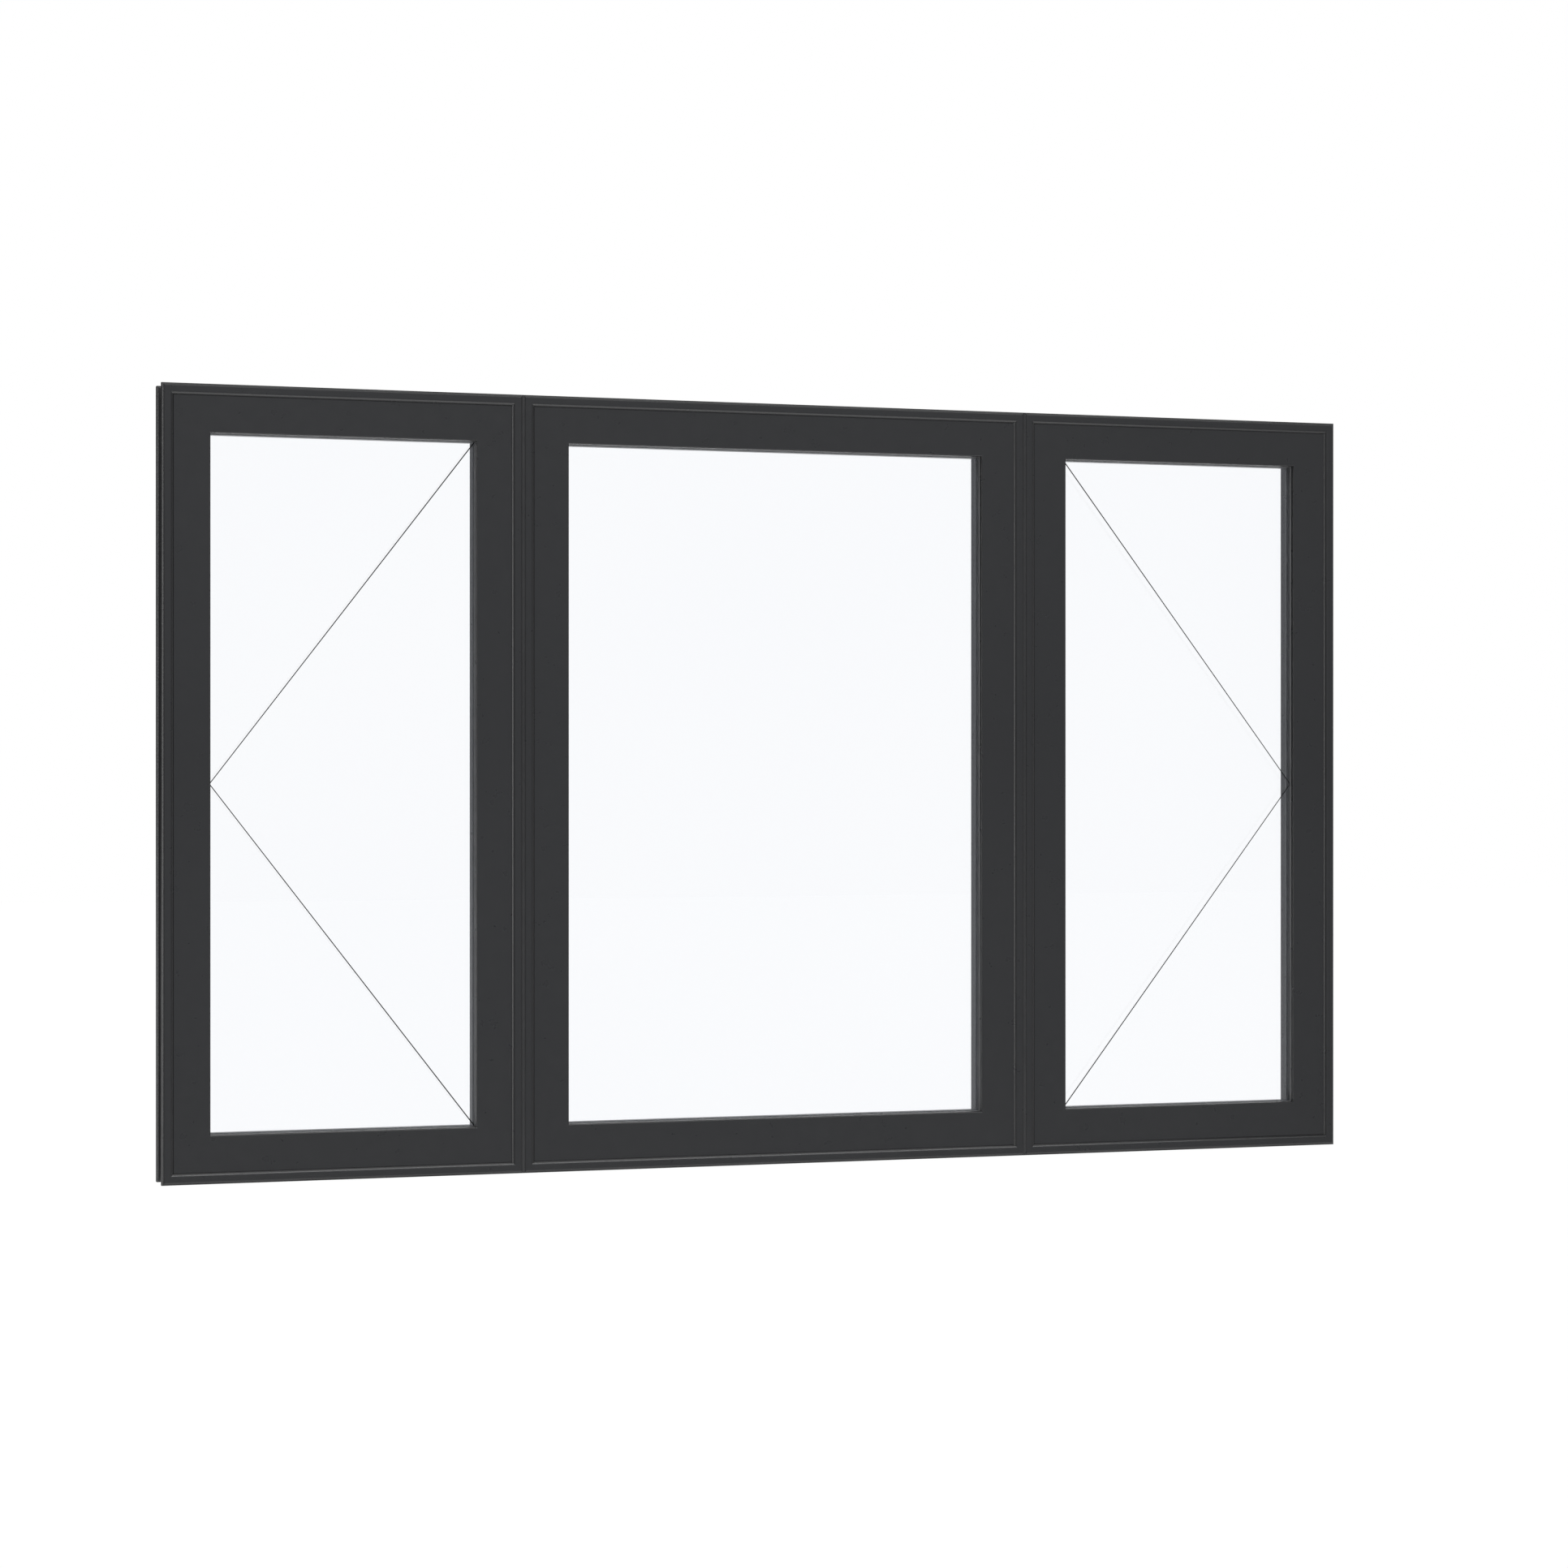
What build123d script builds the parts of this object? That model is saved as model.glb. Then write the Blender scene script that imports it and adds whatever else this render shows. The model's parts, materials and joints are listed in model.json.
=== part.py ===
from build123d import *
import os

# Triple casement window: a side-hung casement each side of a fixed light, three frames coupled in a row.
# Millimetres. X runs along the window, Y from the outside in, Z up.
# The origin is at the middle of the window, on the flat underside of the sills' rear flange.

# Overall sizes
casement_width = 600.0
centre_width = 900.0
window_height = 1300.0

# Frame profile, measured in from the unit's outer edge and back from its outside face
frame_face = 19.0
frame_web = 6.0
frame_edge_radius = 5.0
frame_inner_edge = 6.5
front_flange = 12.0
rear_flange = 16.0
rear_edge_radius = 4.0
stop_reach = 14.0
stop_thickness = 10.0
stop_edge_radius = 2.0

# Sash profile
sash_gap = 0.2
sash_setback = 4.0
sash_face = 60.0
sash_arris = 0.2
lip_depth = 11.0
lip_edge_radius = 2.0
rebate_depth = 18.0
bead_depth = 20.0
bead_edge_radius = 0.5
bead_joint = 0.3

# Glass unit, gaskets and seal
pane_thickness = 4.0
cavity = 10.0
glass_clearance = 4.0
spacer_width = 14.0
outer_gasket = 3.0
inner_gasket = 3.0
gasket_width = 8.0
gasket_proud = 0.5
seal_thickness = 3.0
seal_width = 7.0
seal_inset = 1.0

# Coupling bar in the channels of two frames that meet
coupling_clearance = 0.2
coupling_wall = 3.0

# Handle, closed, on the stile away from the hinges
rose_width = 25.0
rose_height = 72.0
rose_thickness = 8.0
rose_corner = 9.0
rose_edge = 2.0
boss_radius = 10.5
boss_height = 4.0
neck_radius = 8.0
neck_length = 18.0
hub_radius = 10.0
lever_length = 108.0
lever_tip_radius = 7.5
lever_thickness = 10.0
lever_edge = 3.0

# Distances that follow from those, in from the unit's edge
sash_edge = frame_face + sash_gap
daylight = sash_edge + sash_face
rebate = daylight - rebate_depth
glass_edge = rebate + glass_clearance
bead_edge = daylight
channel_depth = frame_face - frame_web
stop_edge = frame_face + stop_reach

# And back from the outside face
lip_back = sash_setback + lip_depth
glass_front = lip_back + outer_gasket
cavity_front = glass_front + pane_thickness
cavity_back = cavity_front + cavity
glass_back = cavity_back + pane_thickness
bead_front = glass_back + inner_gasket
sash_back = bead_front + bead_depth
stop_front = sash_back + seal_thickness
frame_depth = stop_front + stop_thickness
rear_front = frame_depth - rear_flange

# The rear flange's flat underside carries the window, and Y is measured from its middle.
outside = (rear_flange - rear_edge_radius) / 2 - frame_depth

outer_edge = centre_width / 2 + casement_width
units = {
    "left_casement": (-outer_edge, -centre_width / 2),
    "centre_light": (-centre_width / 2, centre_width / 2),
    "right_casement": (centre_width / 2, outer_edge),
}


def finish(name, piece):
    """Labels a finished piece and writes its file."""
    piece.part.label = name
    export_step(piece.part, f"parts/{name}.step")


def runs(left, right):
    """The four runs of one unit: start corner, way along it, way in from its edge, and length."""
    up = Vector(0, 0, 1)
    across = Vector(1, 0, 0)
    foot = Vector(left, outside, 0)
    far_foot = Vector(right, outside, 0)
    rise = up * window_height
    return {
        "left": (foot, up, across, window_height),
        "top": (foot + rise, across, -up, right - left),
        "right": (far_foot + rise, -up, -across, window_height),
        "bottom": (far_foot, -across, up, right - left),
    }


def section_plane(run):
    """The plane of a run's section: x in from the unit's edge, y back from the outside face."""
    start, along, inward, length = run
    return Plane(start, x_dir=inward, z_dir=along)


def mitre(run, joint=0.0):
    """Cuts both ends of a bar on the unit's corner diagonals, half a joint back from each."""
    start, along, inward, length = run
    first = (along - inward).normalized()
    last = (-along - inward).normalized()
    split(bisect_by=Plane(start + first * (joint / 2), z_dir=first), keep=Keep.TOP)
    end = start + along * length
    split(bisect_by=Plane(end + last * (joint / 2), z_dir=last), keep=Keep.TOP)


def frame_bar(name, run):
    """A frame bar: front flange curved down to the sash, channel round the outside, rear flange with the stop."""
    with BuildPart() as bar:
        with BuildSketch(section_plane(run)):
            with BuildLine():
                Line((frame_edge_radius, 0), (frame_face - frame_inner_edge, 0))
                TangentArc((frame_face - frame_inner_edge, 0), (frame_face, sash_setback), tangent=(1, 0))
                Polyline(
                    (frame_face, sash_setback),
                    (frame_face, stop_front),
                    (stop_edge, stop_front),
                    (stop_edge, frame_depth - stop_edge_radius),
                )
                inner_round = (stop_edge - stop_edge_radius, frame_depth - stop_edge_radius)
                CenterArc(inner_round, stop_edge_radius, 0, 90)
                Polyline(
                    (stop_edge - stop_edge_radius, frame_depth),
                    (0, frame_depth),
                    (0, rear_front + rear_edge_radius),
                )
                CenterArc((rear_edge_radius, rear_front + rear_edge_radius), rear_edge_radius, 180, 90)
                Polyline(
                    (rear_edge_radius, rear_front),
                    (channel_depth, rear_front),
                    (channel_depth, front_flange),
                    (0, front_flange),
                    (0, frame_edge_radius),
                )
                CenterArc((frame_edge_radius, frame_edge_radius), frame_edge_radius, 180, 90)
            make_face()
        extrude(amount=run[-1])
        mitre(run)
    finish(name, bar)


def sash_bar(name, run):
    """A sash bar: flat face, a lip with a rounded edge in front of the glass and a rebate behind it."""
    with BuildPart() as bar:
        with BuildSketch(section_plane(run)):
            with BuildLine():
                CenterArc((daylight - lip_edge_radius, sash_setback + lip_edge_radius), lip_edge_radius, 270, 90)
                Polyline(
                    (daylight, sash_setback + lip_edge_radius),
                    (daylight, lip_back),
                    (rebate, lip_back),
                    (rebate, sash_back),
                    (sash_edge, sash_back),
                    (sash_edge, sash_setback + sash_arris),
                    (sash_edge + sash_arris, sash_setback),
                    (daylight - lip_edge_radius, sash_setback),
                )
            make_face()
        extrude(amount=run[-1])
        mitre(run)
    finish(name, bar)


def bead_bar(run):
    """A glazing bead, which closes the rebate from the inside and holds the glass."""
    with BuildPart() as bar:
        with BuildSketch(section_plane(run)):
            with BuildLine():
                Polyline(
                    (bead_edge - bead_edge_radius, sash_back),
                    (rebate, sash_back),
                    (rebate, bead_front),
                    (bead_edge, bead_front),
                    (bead_edge, sash_back - bead_edge_radius),
                )
                CenterArc(
                    (bead_edge - bead_edge_radius, sash_back - bead_edge_radius),
                    bead_edge_radius,
                    0,
                    90,
                )
            make_face()
        extrude(amount=run[-1])
        mitre(run, bead_joint)
    return bar.part


def front_plane(left, right, depth):
    """An upright plane in the middle of a unit, facing in, this far back from the outside face."""
    middle = ((left + right) / 2, outside + depth, window_height / 2)
    return Plane(middle, x_dir=(1, 0, 0), z_dir=(0, 1, 0))


def ring(left, right, outer, inner, front, back):
    """A flat rectangular ring between two distances in from the unit's edge and two depths."""
    with BuildPart() as band:
        with BuildSketch(front_plane(left, right, front)):
            Rectangle(right - left - 2 * outer, window_height - 2 * outer)
            Rectangle(right - left - 2 * inner, window_height - 2 * inner, mode=Mode.SUBTRACT)
        extrude(amount=back - front)
    return band


def gaskets(name, left, right):
    """The rubber each side of the glass, clamped by the lip and by the beads, with an eased edge."""
    lip_root = daylight - gasket_width
    lip_crown = daylight + gasket_proud
    bead_root = bead_edge - gasket_width
    bead_crown = bead_edge + gasket_proud
    outer = ring(left, right, lip_root, lip_crown, lip_back, glass_front)
    inner = ring(left, right, bead_root, bead_crown, glass_back, bead_front)
    with BuildPart() as pair:
        add(outer.part)
        front_edges = pair.faces().sort_by(Axis.Y)[0].inner_wires()[0].edges()
        chamfer(front_edges, length=gasket_proud)
        add(inner.part)
        rear_edges = pair.faces().sort_by(Axis.Y)[-1].inner_wires()[0].edges()
        chamfer(rear_edges, length=gasket_proud)
    finish(name, pair)


def panes(name, left, right):
    """The two sheets of the glass unit, with the sealed cavity between them."""
    with BuildPart() as sheets:
        for front in (glass_front, cavity_back):
            with BuildSketch(front_plane(left, right, front)):
                Rectangle(right - left - 2 * glass_edge, window_height - 2 * glass_edge)
            extrude(amount=pane_thickness)
    finish(name, sheets)


def beads(name, left, right):
    """The four beads of one unit, cut a hairline short of each other at the mitres."""
    with BuildPart() as strips:
        for run in runs(left, right).values():
            add(bead_bar(run))
    finish(name, strips)


def handle(name, stile_middle):
    """A lever handle on the inside of a stile: a rose with a boss, and a lever that hangs straight down."""
    rose_plane = Plane(
        (stile_middle, outside + sash_back, window_height / 2),
        x_dir=(1, 0, 0),
        z_dir=(0, 1, 0),
    )
    with BuildPart() as rose:
        with BuildSketch(rose_plane):
            RectangleRounded(rose_width, rose_height, rose_corner)
        extrude(amount=rose_thickness)
        chamfer(rose.faces().sort_by(Axis.Y)[-1].edges(), length=rose_edge)
        with BuildSketch(rose_plane.offset(rose_thickness)):
            Circle(boss_radius)
        extrude(amount=boss_height)
    finish(f"{name}_rose", rose)

    neck_plane = rose_plane.offset(rose_thickness + boss_height)
    with BuildPart() as lever:
        with BuildSketch(neck_plane.offset(neck_length)):
            Circle(hub_radius)
            with Locations((0, lever_length)):
                Circle(lever_tip_radius)
            make_hull()
        extrude(amount=lever_thickness)
        fillet(lever.faces().sort_by(Axis.Y)[-1].edges(), radius=lever_edge)
        with BuildSketch(neck_plane):
            Circle(neck_radius)
        extrude(amount=neck_length)
    finish(f"{name}_lever", lever)


def coupling_bar(name, joint):
    """A tube in the channels of two frames that meet, which keeps them in line."""
    depth = rear_front - front_flange - 2 * coupling_clearance
    width = 2 * (channel_depth - coupling_clearance)
    middle = outside + (front_flange + rear_front) / 2
    with BuildPart() as tube:
        with BuildSketch(Plane((joint, middle, 0))):
            Rectangle(width, depth)
            Rectangle(width - 2 * coupling_wall, depth - 2 * coupling_wall, mode=Mode.SUBTRACT)
        extrude(amount=window_height)
    finish(name, tube)


os.makedirs("parts", exist_ok=True)

for unit, (left, right) in units.items():
    unit_runs = runs(left, right)
    frame_bar(f"{unit}_frame_head", unit_runs["top"])
    frame_bar(f"{unit}_frame_sill", unit_runs["bottom"])
    frame_bar(f"{unit}_frame_left_jamb", unit_runs["left"])
    frame_bar(f"{unit}_frame_right_jamb", unit_runs["right"])
    sash_bar(f"{unit}_sash_top_rail", unit_runs["top"])
    sash_bar(f"{unit}_sash_bottom_rail", unit_runs["bottom"])
    sash_bar(f"{unit}_sash_left_stile", unit_runs["left"])
    sash_bar(f"{unit}_sash_right_stile", unit_runs["right"])
    panes(f"{unit}_glass_panes", left, right)
    spacer_edge = glass_edge + spacer_width
    finish(f"{unit}_spacer_bar", ring(left, right, glass_edge, spacer_edge, cavity_front, cavity_back))
    gaskets(f"{unit}_glazing_gaskets", left, right)
    beads(f"{unit}_glazing_beads", left, right)
    seal_edge = stop_edge - seal_inset
    finish(f"{unit}_weather_seal", ring(left, right, seal_edge - seal_width, seal_edge, sash_back, stop_front))

# Each handle is half way between the stop and the beads, on the stile next to the fixed light.
stile_middle = (stop_edge + rebate) / 2
handle("left_casement_handle", units["left_casement"][1] - stile_middle)
handle("right_casement_handle", units["right_casement"][0] + stile_middle)

coupling_bar("left_coupling_bar", -centre_width / 2)
coupling_bar("right_coupling_bar", centre_width / 2)
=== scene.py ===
import json
import math

import bpy
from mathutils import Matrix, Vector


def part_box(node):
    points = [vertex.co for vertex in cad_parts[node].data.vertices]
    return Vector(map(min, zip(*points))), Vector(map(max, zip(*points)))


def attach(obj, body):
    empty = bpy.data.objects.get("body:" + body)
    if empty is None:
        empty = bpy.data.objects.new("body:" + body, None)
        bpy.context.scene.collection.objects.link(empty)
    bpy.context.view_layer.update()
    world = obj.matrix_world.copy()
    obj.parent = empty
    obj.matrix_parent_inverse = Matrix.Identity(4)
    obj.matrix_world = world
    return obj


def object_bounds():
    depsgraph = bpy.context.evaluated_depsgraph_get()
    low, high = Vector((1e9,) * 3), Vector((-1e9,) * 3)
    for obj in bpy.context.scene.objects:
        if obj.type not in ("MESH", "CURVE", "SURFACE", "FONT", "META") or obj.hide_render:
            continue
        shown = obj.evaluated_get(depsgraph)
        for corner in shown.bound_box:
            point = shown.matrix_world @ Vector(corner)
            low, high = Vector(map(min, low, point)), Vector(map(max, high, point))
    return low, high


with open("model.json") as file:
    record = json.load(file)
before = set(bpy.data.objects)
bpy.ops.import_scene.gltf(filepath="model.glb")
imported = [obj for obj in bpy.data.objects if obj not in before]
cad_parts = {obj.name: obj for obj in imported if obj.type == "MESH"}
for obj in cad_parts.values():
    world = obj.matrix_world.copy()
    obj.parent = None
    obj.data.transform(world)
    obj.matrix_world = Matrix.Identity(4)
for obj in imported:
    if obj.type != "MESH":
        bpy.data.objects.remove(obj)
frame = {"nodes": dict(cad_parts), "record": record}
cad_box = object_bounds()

# The looks of a triple casement window: satin grey metal, double glazing, opening marks on the glass,
# handle screws and sealed joints between the frames, in a white studio.
# Metres. X runs along the window, Y from the outside in, Z up.

scene = bpy.context.scene

# Tones of the finishes
PAINT_GREY = (0.023, 0.0235, 0.0245)
PAINT_ROUGHNESS = 0.3
SPACER_GREY = (0.085, 0.085, 0.089)
# The glazing gaskets' light grey is partly the rubber's own tone and partly a painted highlight along their
# edges.
GASKET_GREY_AND_PAINTED_HIGHLIGHT = (0.2, 0.2, 0.204)
SEAL_BLACK = (0.02, 0.02, 0.02)
SEALANT_GREY = (0.026, 0.0265, 0.0275)

# The range that holds most of a noise pattern
NOISE_LOW = 0.3
NOISE_HIGH = 0.7

# Opening marks: lines on the outer pane that end at the lip of the sash, which covers the glass's edge
LIP_COVER = 0.014
MARK_WIDTH = 0.0018
MARK_THICKNESS = 0.0002

# Screws in the handle roses: low heads above and below the boss, sunk a hair into the plate
BOSS_HEIGHT = 0.004
SCREW_SPACING = 0.043
SCREW_RADIUS = 0.0034
SCREW_HEIGHT = 0.0009
SCREW_SINK = 0.0001
SCREW_SIDES = 28
SOCKET_SIDES = 6
SOCKET_SHARE = 0.5

# Sealant in the groove between the rounded edges of two frames: sunk behind their faces, hollowed by a
# share of that depth, reaching back a share of the rounding, with a hair of play at its sides and ends
FRAME_ROUNDING = 0.005
SEALANT_SINK = 0.0009
SEALANT_HOLLOW = 0.25
SEALANT_REACH = 0.92
SEALANT_FILL = 0.98
SEALANT_END_GAP = 0.0005

# The photograph's camera: level, at mid height, this far round from the window's own axis
VIEW_TURN = math.radians(18.003)
CAMERA_PLACE = (-1.8273, -5.7101, 0.65)
CAMERA_LENS = 79.69

# The studio: a floor at a usual sill height below the window, plain room light, and the greys of the
# walls that gloss mirrors, each set by the cosine of the angle from the middle of its wall
SILL_HEIGHT = 0.9
FLOOR_WHITE = 1.07
FLOOR_WHITE_SHARE = 0.9
ROOM_LIGHT = 0.57
BACKDROP_WAY = (math.sin(VIEW_TURN), math.cos(VIEW_TURN), 0.0)
BACKDROP = [
    (0.82, (0.0, 0.0, 0.0)),
    (0.90, (0.1, 0.1, 0.1)),
    (0.945, (0.6, 0.6, 0.6)),
    (0.975, (0.97, 0.97, 0.97)),
]
FRONT_TURN = math.radians(11.0)
FRONT_WAY = (math.sin(FRONT_TURN), -math.cos(FRONT_TURN), 0.0)
FRONT_WALL = [
    (0.0, (0.03, 0.03, 0.03)),
    (0.2, (0.1, 0.1, 0.1)),
    (0.64, (0.12, 0.12, 0.13)),
    (0.87, (0.42, 0.43, 0.46)),
    (0.93, (0.72, 0.735, 0.785)),
    (0.97, (0.82, 0.84, 0.9)),
]


def feed(tree, socket, value):
    """Links a socket to its source, or sets it to a plain value."""
    if isinstance(value, bpy.types.NodeSocket):
        tree.links.new(value, socket)
    else:
        socket.default_value = value


def add_node(tree, kind, settings=None, **inputs):
    """Adds a node, sets its own settings, and fills or links its inputs by name."""
    made = tree.nodes.new(kind)
    for name, value in (settings or {}).items():
        setattr(made, name, value)
    for name, value in inputs.items():
        feed(tree, made.inputs[name.replace("_", " ")], value)
    return made


def calculate(tree, operation, first, second, clamp=False):
    """One step of arithmetic on two numbers, plain or from sockets."""
    made = add_node(tree, "ShaderNodeMath", {"operation": operation, "use_clamp": clamp})
    feed(tree, made.inputs[0], first)
    feed(tree, made.inputs[1], second)
    return made.outputs["Value"]


def cosine_to(tree, way, wall_way):
    """The cosine of the angle between a direction and the middle of a wall."""
    made = add_node(tree, "ShaderNodeVectorMath", {"operation": "DOT_PRODUCT"})
    feed(tree, made.inputs[0], way)
    feed(tree, made.inputs[1], wall_way)
    return made.outputs["Value"]


def mix_shaders(tree, share, first, second):
    """The first shader, with a share of the second."""
    made = add_node(tree, "ShaderNodeMixShader", Fac=share)
    feed(tree, made.inputs[1], first)
    feed(tree, made.inputs[2], second)
    return made.outputs["Shader"]


def ramp(tree, factor, stops):
    """A colour ramp through the given places and colours."""
    made = add_node(tree, "ShaderNodeValToRGB", Fac=factor)
    bands = made.color_ramp.elements
    while len(bands) < len(stops):
        bands.new(0.5)
    for band, (place, colour) in zip(bands, stops):
        band.position = place
        band.color = (*colour, 1.0)
    return made.outputs["Color"]


def noise(tree, place, scale, detail=2.0):
    """A cloudy pattern from 0 to 1."""
    return add_node(tree, "ShaderNodeTexNoise", Vector=place, Scale=scale, Detail=detail).outputs["Fac"]


def drift(tree, cloud, deep, pale):
    """A colour that drifts between two tones with a cloudy pattern."""
    return ramp(tree, cloud, [(NOISE_LOW, deep), (NOISE_HIGH, pale)])


def shades(tone, swing):
    """A tone made darker and lighter by a share."""
    return tuple(c * (1 - swing) for c in tone), tuple(c * (1 + swing) for c in tone)


def spread(tree, value, low, high):
    """Brings the middle range of a noise to the span from low to high."""
    return add_node(
        tree,
        "ShaderNodeMapRange",
        Value=value,
        From_Min=NOISE_LOW,
        From_Max=NOISE_HIGH,
        To_Min=low,
        To_Max=high,
    ).outputs["Result"]


def new_finish(name):
    """A material with its tree, its main shader and the piece's own coordinates."""
    material = bpy.data.materials.new(name)
    material.use_nodes = True
    tree = material.node_tree
    shader = tree.nodes["Principled BSDF"]
    place = add_node(tree, "ShaderNodeTexCoord").outputs["Object"]
    return material, tree, shader, place


def set_finish(tree, shader, **inputs):
    """Fills or links inputs of a finish's main shader by name."""
    for name, value in inputs.items():
        feed(tree, shader.inputs[name.replace("_", " ")], value)


def relief(tree, height, strength, distance):
    """A fine relief on a surface, from a pattern's height."""
    return add_node(
        tree, "ShaderNodeBump", Strength=strength, Distance=distance, Height=height
    ).outputs["Normal"]


def powder_coat(name):
    """Satin powder coat: a dark neutral grey with a faint drift of tone and a very fine orange peel."""
    material, tree, shader, place = new_finish(name)
    tone = drift(tree, noise(tree, place, 2.2, 3.0), *shades(PAINT_GREY, 0.05))
    patches = noise(tree, place, 45.0, 4.0)
    peel = noise(tree, place, 850.0)
    set_finish(
        tree,
        shader,
        Base_Color=tone,
        Roughness=spread(tree, patches, PAINT_ROUGHNESS - 0.03, PAINT_ROUGHNESS + 0.03),
        Normal=relief(tree, peel, 0.05, 0.0001),
        Specular_IOR_Level=0.32,
    )
    return material


def float_glass(name):
    """Clear float glass with the faint blue of a coated double-glazed unit; lamps shine through it."""
    material, tree, shader, place = new_finish(name)
    tint = noise(tree, place, 1.5, 1.0)
    set_finish(
        tree,
        shader,
        Base_Color=drift(tree, tint, (0.984, 0.989, 0.996), (0.989, 0.993, 0.998)),
        Transmission_Weight=1.0,
        Roughness=0.0,
        IOR=1.5,
    )
    lamp_ray = add_node(tree, "ShaderNodeLightPath").outputs["Is Shadow Ray"]
    clear = add_node(tree, "ShaderNodeBsdfTransparent", Color=(0.9, 0.93, 0.95, 1.0))
    both = mix_shaders(tree, lamp_ray, shader.outputs["BSDF"], clear.outputs["BSDF"])
    tree.links.new(both, tree.nodes["Material Output"].inputs["Surface"])
    return material


def rubber(name, tone, roughness):
    """Extruded rubber: matt, with a dusty bloom and a fine grain."""
    material, tree, shader, place = new_finish(name)
    bloom = noise(tree, place, 30.0, 4.0)
    grain = noise(tree, place, 1400.0)
    set_finish(
        tree,
        shader,
        Base_Color=drift(tree, bloom, *shades(tone, 0.15)),
        Roughness=spread(tree, bloom, roughness - 0.05, roughness + 0.05),
        Normal=relief(tree, grain, 0.15, 0.0002),
        Specular_IOR_Level=0.3,
    )
    return material


def warm_edge_spacer(name):
    """Warm-edge spacer: matt, with fine grooves rolled along its length."""
    material, tree, shader, place = new_finish(name)
    cloud = noise(tree, place, 25.0, 3.0)
    grooves = add_node(
        tree,
        "ShaderNodeTexWave",
        {"wave_type": "BANDS", "bands_direction": "Y", "wave_profile": "SIN"},
        Vector=place,
        Scale=80.0,
    ).outputs["Fac"]
    set_finish(
        tree,
        shader,
        Base_Color=drift(tree, cloud, *shades(SPACER_GREY, 0.1)),
        Roughness=spread(tree, cloud, 0.5, 0.6),
        Normal=relief(tree, grooves, 0.3, 0.0004),
    )
    return material


def mill_aluminium(name):
    """Mill finish aluminium: bare metal with die lines along the bar."""
    material, tree, shader, place = new_finish(name)
    stretched = add_node(tree, "ShaderNodeMapping", Vector=place, Scale=(600.0, 600.0, 6.0))
    lines = noise(tree, stretched.outputs["Vector"], 1.0, 3.0)
    set_finish(
        tree,
        shader,
        Base_Color=drift(tree, lines, (0.5, 0.51, 0.52), (0.6, 0.61, 0.62)),
        Roughness=spread(tree, lines, 0.35, 0.5),
        Normal=relief(tree, lines, 0.1, 0.0002),
        Metallic=1.0,
    )
    return material


def mark_ink(name):
    """The near-black of the opening marks, slightly worn in tone."""
    material, tree, shader, place = new_finish(name)
    wear = noise(tree, place, 60.0, 3.0)
    set_finish(
        tree,
        shader,
        Base_Color=drift(tree, wear, (0.010, 0.010, 0.011), (0.018, 0.018, 0.019)),
        Roughness=spread(tree, wear, 0.55, 0.7),
        Specular_IOR_Level=0.2,
    )
    return material


def screw_steel(name):
    """Blackened steel of the handle screws, brushed a little at the heads."""
    material, tree, shader, place = new_finish(name)
    brush = noise(tree, place, 500.0, 4.0)
    set_finish(
        tree,
        shader,
        Base_Color=drift(tree, brush, (0.10, 0.10, 0.105), (0.16, 0.16, 0.165)),
        Roughness=spread(tree, brush, 0.3, 0.45),
        Metallic=1.0,
    )
    return material


def dress_cad_nodes():
    """Gives every CAD node the finish of its slot."""
    finishes = {
        "frame_paint": powder_coat("frame satin grey"),
        "sash_paint": powder_coat("sash satin grey"),
        "bead_paint": powder_coat("bead satin grey"),
        "handle_paint": powder_coat("handle satin grey"),
        "clear_glass": float_glass("pale blue float glass"),
        "spacer_grey": warm_edge_spacer("dark grey spacer bar"),
        # Glazing gaskets: the rubber's tone is lightened to paint in a highlight along their edges.
        "gasket_rubber": rubber("grey glazing rubber with painted highlight", GASKET_GREY_AND_PAINTED_HIGHLIGHT, 0.6),
        "seal_rubber": rubber("black seal rubber", SEAL_BLACK, 0.65),
        "coupling_metal": mill_aluminium("mill aluminium"),
    }
    for entry in frame["record"]["subparts"]:
        shape = frame["nodes"][entry["node"]].data
        shape.materials.clear()
        shape.materials.append(finishes[entry["material_slot"]])


def new_tree(name):
    """An empty Geometry Nodes tree with a geometry output."""
    tree = bpy.data.node_groups.new(name, "GeometryNodeTree")
    tree.interface.new_socket("Geometry", in_out="OUTPUT", socket_type="NodeSocketGeometry")
    return tree


def tree_input(tree, name, kind):
    """A named input of a Geometry Nodes tree; gives back its identifier."""
    return tree.interface.new_socket(name, in_out="INPUT", socket_type=kind).identifier


def end_tree(tree, geometry, finish):
    """Makes the tree's result real, gives it its finish and puts it out."""
    real = add_node(tree, "GeometryNodeRealizeInstances", Geometry=geometry)
    dressed = add_node(tree, "GeometryNodeSetMaterial", Geometry=real.outputs["Geometry"], Material=finish)
    end = tree.nodes.new("NodeGroupOutput")
    tree.links.new(dressed.outputs["Geometry"], end.inputs["Geometry"])


def grow(name, tree, values):
    """Runs a Geometry Nodes tree on an empty mesh and keeps the result as a plain piece."""
    seed = bpy.data.objects.new(name, bpy.data.meshes.new(f"{name}_seed"))
    scene.collection.objects.link(seed)
    modifier = seed.modifiers.new("grow", "NODES")
    modifier.node_group = tree
    for identifier, value in values.items():
        modifier[identifier] = value
    scene_graph = bpy.context.evaluated_depsgraph_get()
    grown = bpy.data.meshes.new_from_object(seed.evaluated_get(scene_graph))
    seed.modifiers.remove(modifier)
    if grown.materials[0] is None:
        grown.materials.pop(index=0)
        grown.polygons.foreach_set("material_index", [0] * len(grown.polygons))
    seed.data = grown
    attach(seed, "root")


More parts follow.
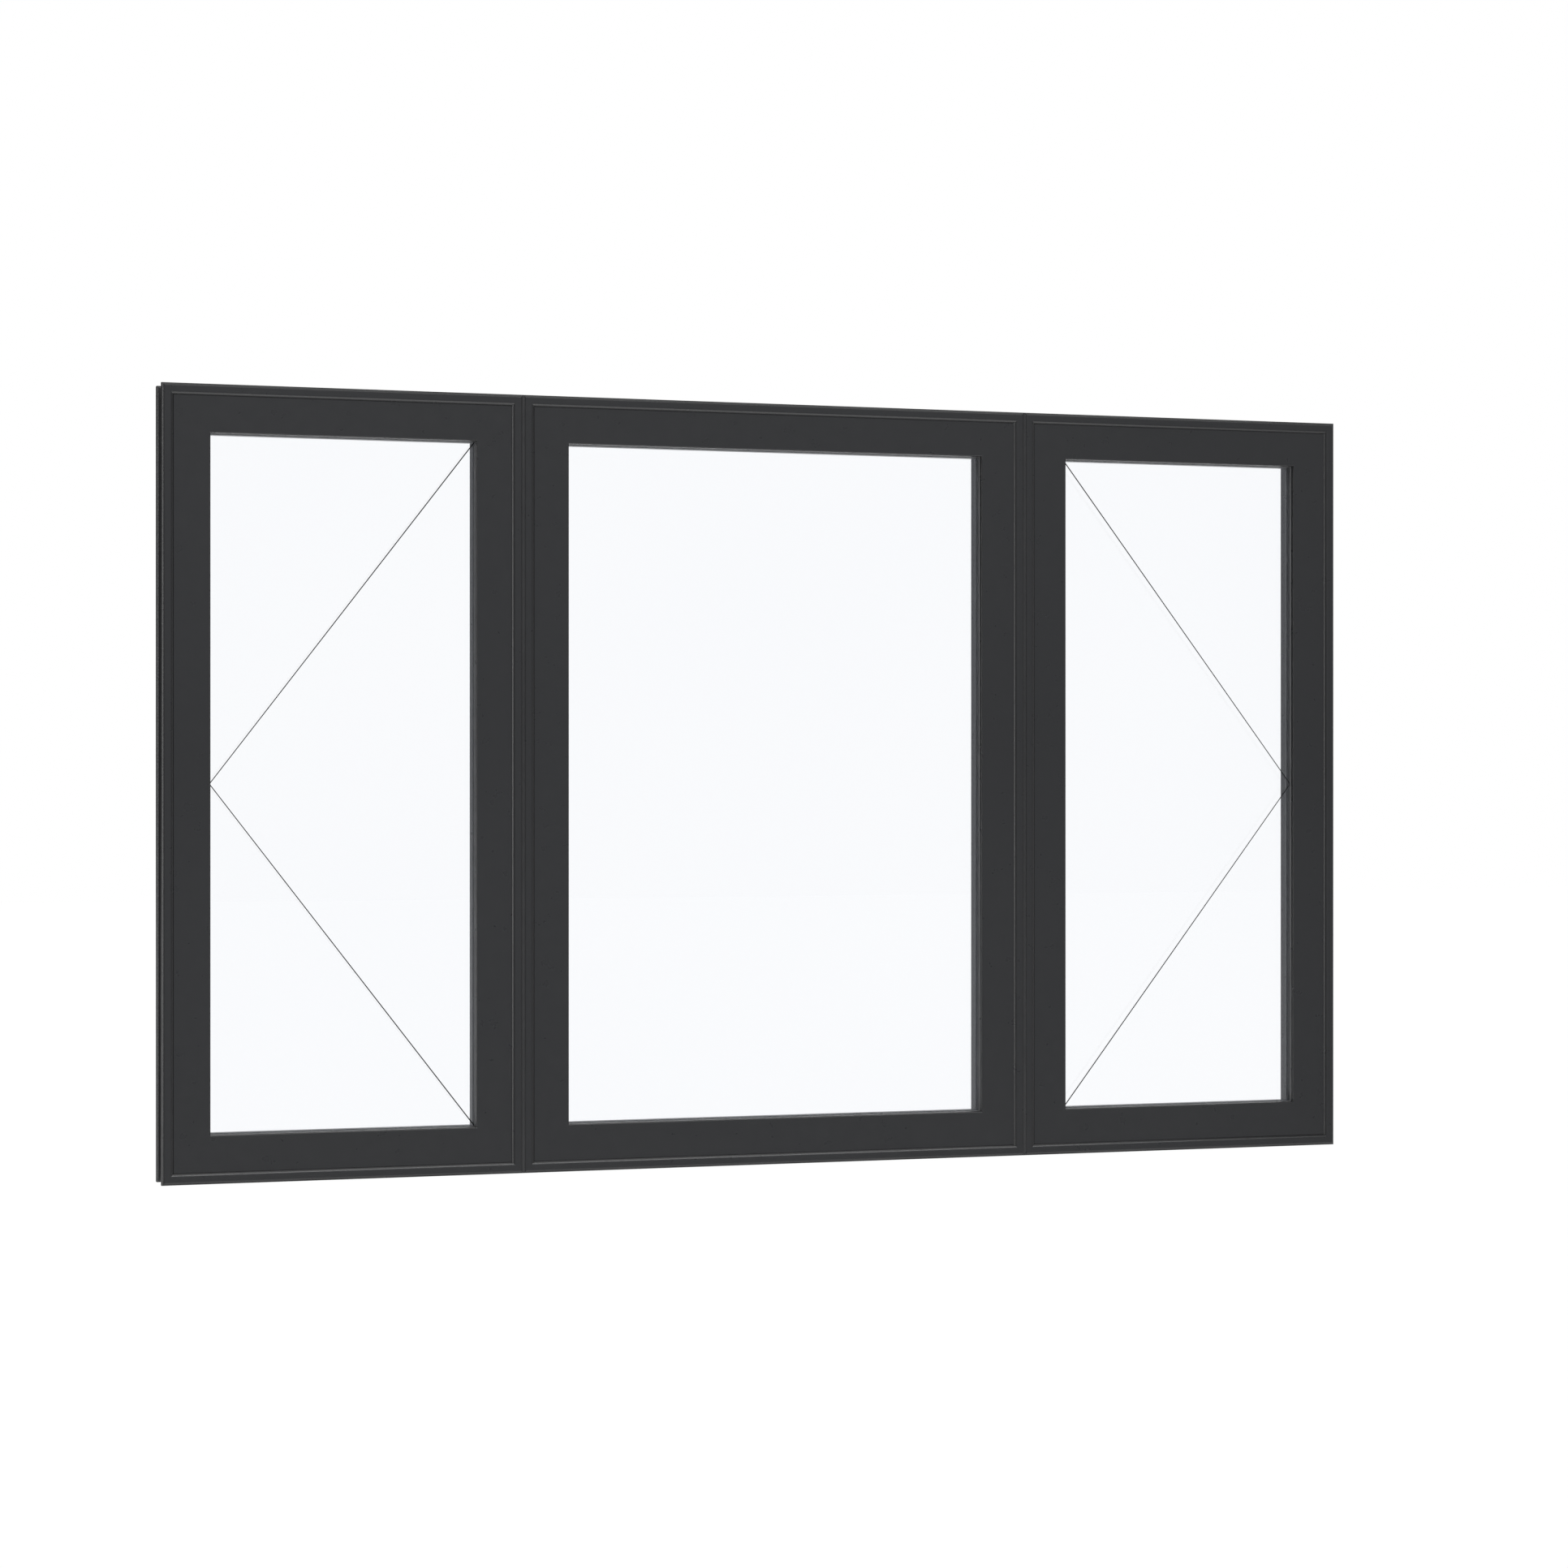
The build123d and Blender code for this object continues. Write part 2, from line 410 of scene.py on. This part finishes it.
def opening_mark_tree(ink):
    """A flat strip through three points: two corners of the glass and the middle of the hinge side."""
    tree = new_tree("opening mark")
    corner_names = ("Far top corner", "Hinge side middle", "Far bottom corner")
    names = {name: tree_input(tree, name, "NodeSocketVector") for name in corner_names}
    names["Line width"] = tree_input(tree, "Line width", "NodeSocketFloat")
    names["Line thickness"] = tree_input(tree, "Line thickness", "NodeSocketFloat")
    given = tree.nodes.new("NodeGroupInput").outputs
    points = add_node(tree, "GeometryNodeMeshLine", Count=len(corner_names))
    index = add_node(tree, "GeometryNodeInputIndex")
    corner = add_node(tree, "GeometryNodeIndexSwitch", {"data_type": "VECTOR"})
    corner.index_switch_items.new()
    tree.links.new(index.outputs["Index"], corner.inputs["Index"])
    for number, name in enumerate(corner_names):
        tree.links.new(given[name], corner.inputs[str(number)])
    placed = add_node(
        tree, "GeometryNodeSetPosition", Geometry=points.outputs["Mesh"], Position=corner.outputs["Output"]
    )
    path = add_node(tree, "GeometryNodeMeshToCurve", Mesh=placed.outputs["Geometry"])
    flat_on_glass = add_node(
        tree,
        "GeometryNodeSetCurveNormal",
        {"mode": "FREE"},
        Curve=path.outputs["Curve"],
        Normal=(0.0, 1.0, 0.0),
    )
    section = add_node(
        tree,
        "GeometryNodeCurvePrimitiveQuadrilateral",
        Width=given["Line thickness"],
        Height=given["Line width"],
    )
    strip = add_node(
        tree,
        "GeometryNodeCurveToMesh",
        Curve=flat_on_glass.outputs["Curve"],
        Profile_Curve=section.outputs["Curve"],
        Fill_Caps=True,
    )
    end_tree(tree, strip.outputs["Mesh"], ink)
    return tree, names


def screw_tree(steel):
    """Two low screw heads, one above and one below the spindle, each with a six-sided socket."""
    tree = new_tree("handle screws")
    names = {"Plate middle": tree_input(tree, "Plate middle", "NodeSocketVector")}
    for name in ("Screw spacing", "Head radius", "Head height"):
        names[name] = tree_input(tree, name, "NodeSocketFloat")
    given = tree.nodes.new("NodeGroupInput").outputs
    step = add_node(tree, "ShaderNodeCombineXYZ", Z=given["Screw spacing"]).outputs["Vector"]
    half_step = add_node(tree, "ShaderNodeVectorMath", {"operation": "SCALE"}, Vector=step, Scale=0.5)
    lower = add_node(tree, "ShaderNodeVectorMath", {"operation": "SUBTRACT"})
    feed(tree, lower.inputs[0], given["Plate middle"])
    feed(tree, lower.inputs[1], half_step.outputs["Vector"])
    spots = add_node(
        tree,
        "GeometryNodeMeshLine",
        {"mode": "OFFSET"},
        Count=2,
        Start_Location=lower.outputs["Vector"],
        Offset=step,
    )
    socket_radius = calculate(tree, "MULTIPLY", given["Head radius"], SOCKET_SHARE)
    outline = add_node(tree, "GeometryNodeJoinGeometry")
    for sides, radius in ((SCREW_SIDES, given["Head radius"]), (SOCKET_SIDES, socket_radius)):
        ring = add_node(
            tree, "GeometryNodeCurvePrimitiveCircle", {"mode": "RADIUS"}, Resolution=sides, Radius=radius
        )
        tree.links.new(ring.outputs["Curve"], outline.inputs["Geometry"])
    face = add_node(
        tree, "GeometryNodeFillCurve", {"mode": "NGONS"}, Curve=outline.outputs["Geometry"]
    ).outputs["Mesh"]
    raised = add_node(
        tree, "GeometryNodeExtrudeMesh", Mesh=face, Offset_Scale=given["Head height"], Individual=False
    )
    base = add_node(tree, "GeometryNodeFlipFaces", Mesh=face)
    shell = add_node(tree, "GeometryNodeJoinGeometry")
    tree.links.new(raised.outputs["Mesh"], shell.inputs["Geometry"])
    tree.links.new(base.outputs["Mesh"], shell.inputs["Geometry"])
    head = add_node(
        tree, "GeometryNodeMergeByDistance", Geometry=shell.outputs["Geometry"], Distance=0.00001
    )
    face_inside = add_node(tree, "FunctionNodeEulerToRotation", Euler=(-math.pi / 2, 0.0, 0.0))
    heads = add_node(
        tree,
        "GeometryNodeInstanceOnPoints",
        Points=spots.outputs["Mesh"],
        Instance=head.outputs["Geometry"],
        Rotation=face_inside.outputs["Rotation"],
    )
    end_tree(tree, heads.outputs["Instances"], steel)
    return tree, names


def opening_marks():
    """A V on each casement's glass that points at its hinges."""
    tree, names = opening_mark_tree(mark_ink("opening mark black"))
    for unit, hinge_on_left in (("left_casement", True), ("right_casement", False)):
        low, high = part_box(f"{unit}_glass_panes")
        face = low.y - MARK_THICKNESS / 2
        left, right = low.x + LIP_COVER, high.x - LIP_COVER
        hinge, far = (left, right) if hinge_on_left else (right, left)
        values = {
            names["Far top corner"]: (far, face, high.z - LIP_COVER),
            names["Hinge side middle"]: (hinge, face, (low.z + high.z) / 2),
            names["Far bottom corner"]: (far, face, low.z + LIP_COVER),
            names["Line width"]: MARK_WIDTH,
            names["Line thickness"]: MARK_THICKNESS,
        }
        grow(f"{unit}_opening_mark", tree, values)


def handle_screws():
    """The screws that hold each handle rose to its stile."""
    tree, names = screw_tree(screw_steel("blackened screw steel"))
    for unit in ("left_casement", "right_casement"):
        low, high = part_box(f"{unit}_handle_rose")
        middle = (low + high) / 2
        values = {
            names["Plate middle"]: (middle.x, high.y - BOSS_HEIGHT - SCREW_SINK, middle.z),
            names["Screw spacing"]: SCREW_SPACING,
            names["Head radius"]: SCREW_RADIUS,
            names["Head height"]: SCREW_HEIGHT,
        }
        grow(f"{unit}_handle_screws", tree, values)


def groove_half_width(depth):
    """Half the width of the groove between two rounded frame edges, at a depth behind their faces."""
    return FRAME_ROUNDING - math.sqrt(FRAME_ROUNDING ** 2 - (FRAME_ROUNDING - depth) ** 2)


def sealant_section():
    """The sealant's outline, as places across the groove and depths: hollow in front, pointed behind."""
    half = groove_half_width(SEALANT_SINK)
    hollow = SEALANT_HOLLOW * SEALANT_SINK
    front = [(half * t, SEALANT_SINK + hollow * (1 - t * t)) for t in (-1.0, -0.5, 0.0, 0.5, 1.0)]
    depths = [share * FRAME_ROUNDING for share in (0.35, 0.55, 0.75)]
    right_side = [(groove_half_width(depth), depth) for depth in depths]
    point = (0.0, SEALANT_REACH * FRAME_ROUNDING)
    left_side = [(-x, depth) for x, depth in reversed(right_side)]
    return front + right_side + [point] + left_side


def joint_sealant():
    """A hand-tooled bead of sealant in each of the two grooves where frames meet."""
    finish = rubber("grey joint sealant", SEALANT_GREY, 0.5)
    section = sealant_section()
    count = len(section)
    sides = [(i, (i + 1) % count, count + (i + 1) % count, count + i) for i in range(count)]
    ends = [tuple(reversed(range(count))), tuple(range(count, 2 * count))]
    front = cad_box[0][1]
    heights = (cad_box[0][2] + SEALANT_END_GAP, cad_box[1][2] - SEALANT_END_GAP)
    for unit in ("left", "right"):
        low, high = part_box(f"{unit}_coupling_bar")
        joint = (low.x + high.x) / 2
        points = [(joint + SEALANT_FILL * x, front + depth, z) for z in heights for x, depth in section]
        name = f"{unit}_joint_sealant"
        shape = bpy.data.meshes.new(name)
        shape.from_pydata(points, [], sides + ends)
        shape.materials.append(finish)
        bead = bpy.data.objects.new(name, shape)
        scene.collection.objects.link(bead)
        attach(bead, "root")


def looked_at(tree, path):
    """1 for what the eye sees, directly or straight through the panes, before light bounces off a piece."""
    bounced = calculate(tree, "ADD", path["Glossy Depth"], path["Diffuse Depth"], clamp=True)
    straight = calculate(tree, "SUBTRACT", 1.0, bounced)
    through = calculate(tree, "MULTIPLY", path["Is Transmission Ray"], straight)
    return calculate(tree, "MAXIMUM", path["Is Camera Ray"], through)


def mirrored(tree, path):
    """1 for what a sheen shows, or what is seen through the glass from a piece behind it."""
    return calculate(tree, "MAXIMUM", path["Is Glossy Ray"], path["Is Transmission Ray"])


def pale_floor():
    """A pale floor below the window, white to the eye, and white to gloss toward the backdrop."""
    wide, near, far = 40.0, -4.0, 40.0
    level = cad_box[0][2] - SILL_HEIGHT
    corners = [(-wide, near, level), (wide, near, level), (wide, far, level), (-wide, far, level)]
    shape = bpy.data.meshes.new("floor")
    shape.from_pydata(corners, [], [(0, 1, 2, 3)])
    floor = bpy.data.objects.new("floor", shape)
    scene.collection.objects.link(floor)
    material, tree, shader, place = new_finish("pale floor")
    cloud = noise(tree, place, 1.3, 3.0)
    set_finish(
        tree,
        shader,
        Base_Color=drift(tree, cloud, (0.80, 0.80, 0.80), (0.82, 0.82, 0.82)),
        Roughness=0.9,
    )
    along = add_node(tree, "ShaderNodeSeparateXYZ", Vector=place).outputs
    level_way = add_node(tree, "ShaderNodeCombineXYZ", X=along["X"], Y=along["Y"])
    away = add_node(tree, "ShaderNodeVectorMath", {"operation": "NORMALIZE"})
    feed(tree, away.inputs[0], level_way.outputs["Vector"])
    backdrop = ramp(tree, cosine_to(tree, away.outputs["Vector"], BACKDROP_WAY), BACKDROP)
    path = add_node(tree, "ShaderNodeLightPath").outputs
    in_sheen = calculate(tree, "MULTIPLY", mirrored(tree, path), backdrop)
    white_to = calculate(tree, "MAXIMUM", looked_at(tree, path), in_sheen)
    share = calculate(tree, "MULTIPLY", white_to, FLOOR_WHITE_SHARE)
    white = add_node(tree, "ShaderNodeEmission", Color=(1.0, 1.0, 1.0, 1.0), Strength=FLOOR_WHITE)
    both = mix_shaders(tree, share, shader.outputs["BSDF"], white.outputs["Emission"])
    tree.links.new(both, tree.nodes["Material Output"].inputs["Surface"])
    shape.materials.append(material)


def studio_world():
    """Plain soft light, white to the eye, with a white backdrop and a dim front wall that gloss mirrors."""
    world = bpy.data.worlds.new("studio")
    world.use_nodes = True
    scene.world = world
    tree = world.node_tree
    room = tree.nodes["Background"]
    room.inputs["Color"].default_value = (1.0, 1.0, 1.0, 1.0)
    room.inputs["Strength"].default_value = ROOM_LIGHT
    way = add_node(tree, "ShaderNodeTexCoord").outputs["Generated"]
    walls = add_node(tree, "ShaderNodeVectorMath", {"operation": "ADD"})
    feed(tree, walls.inputs[0], ramp(tree, cosine_to(tree, way, BACKDROP_WAY), BACKDROP))
    feed(tree, walls.inputs[1], ramp(tree, cosine_to(tree, way, FRONT_WAY), FRONT_WALL))
    in_sheen = add_node(tree, "ShaderNodeBackground", Color=walls.outputs["Vector"], Strength=1.0)
    white = add_node(tree, "ShaderNodeBackground", Color=(1.0, 1.0, 1.0, 1.0), Strength=1.0)
    path = add_node(tree, "ShaderNodeLightPath").outputs
    studio = mix_shaders(
        tree, mirrored(tree, path), room.outputs["Background"], in_sheen.outputs["Background"]
    )
    both = mix_shaders(tree, looked_at(tree, path), studio, white.outputs["Background"])
    tree.links.new(both, tree.nodes["World Output"].inputs["Surface"])


def softbox(name, place, target, width, height, power, fill=True, gloss=True, spread_angle=180.0):
    """A large soft lamp out of sight: with fill it lights the faces, with gloss it shows in their sheen."""
    lamp = bpy.data.lights.new(name, "AREA")
    lamp.shape = "RECTANGLE"
    lamp.size = width
    lamp.size_y = height
    lamp.energy = power
    lamp.spread = math.radians(spread_angle)
    holder = bpy.data.objects.new(name, lamp)
    scene.collection.objects.link(holder)
    holder.location = place
    aim = holder.location.copy()
    aim.x, aim.y, aim.z = (t - p for t, p in zip(target, place))
    holder.rotation_mode = "QUATERNION"
    holder.rotation_quaternion = aim.to_track_quat("-Z", "Y")
    holder.visible_camera = False
    holder.visible_transmission = False
    holder.visible_diffuse = fill
    holder.visible_glossy = gloss


def studio_lamps():
    """One lamp for the faces, and lamps that only draw the light lines along the window's edges."""
    middle = (0.0, 0.0, 0.65)
    # The strips lie close before the window; their narrowed spread keeps them to edges that face up or down
    strip = {"width": 2.9, "height": 0.9, "fill": False, "spread_angle": 140.0}
    softbox("key softbox", (-3.0, -5.0, 2.6), middle, 3.0, 3.0, 50.0, gloss=False)
    softbox("upper softbox", (0.5, -6.0, 4.7), middle, 9.0, 1.6, 170.0, fill=False)
    softbox("ceiling softbox", (0.0, -1.0, 4.0), (0.0, -1.0, 0.0), 5.0, 3.0, 95.0, fill=False)
    softbox("sill strip", (0.0, -1.4, 1.1), (0.0, -1.4, 0.0), power=48.0, **strip)
    softbox("head strip", (0.0, -1.45, 0.2), (0.0, -1.45, 1.3), power=24.0, **strip)
    softbox("left softbox", (-5.0, -0.7, 0.75), (-0.3, 0.0, 0.65), 2.2, 2.6, 115.0, fill=False)
    softbox("right softbox", (4.6, -0.6, 0.75), (0.3, 0.0, 0.65), 3.0, 2.6, 26.0, fill=False)
    softbox("low softbox", (0.2, -1.4, -0.85), (0.2, -1.4, 1.0), 5.0, 2.0, 50.0, fill=False)


def photo_camera():
    """The photograph's camera, fitted to the window's edges."""
    lens = bpy.data.cameras.new("photo camera")
    lens.sensor_width = 36.0
    lens.lens = CAMERA_LENS
    lens.clip_start = 0.1
    lens.clip_end = 200.0
    camera = bpy.data.objects.new("photo camera", lens)
    scene.collection.objects.link(camera)
    camera.location = CAMERA_PLACE
    camera.rotation_euler = (math.radians(90.0), 0.0, -VIEW_TURN)
    scene.camera = camera


dress_cad_nodes()
opening_marks()
handle_screws()
joint_sealant()
pale_floor()
studio_world()
studio_lamps()
photo_camera()
scene.view_settings.view_transform = "Standard"
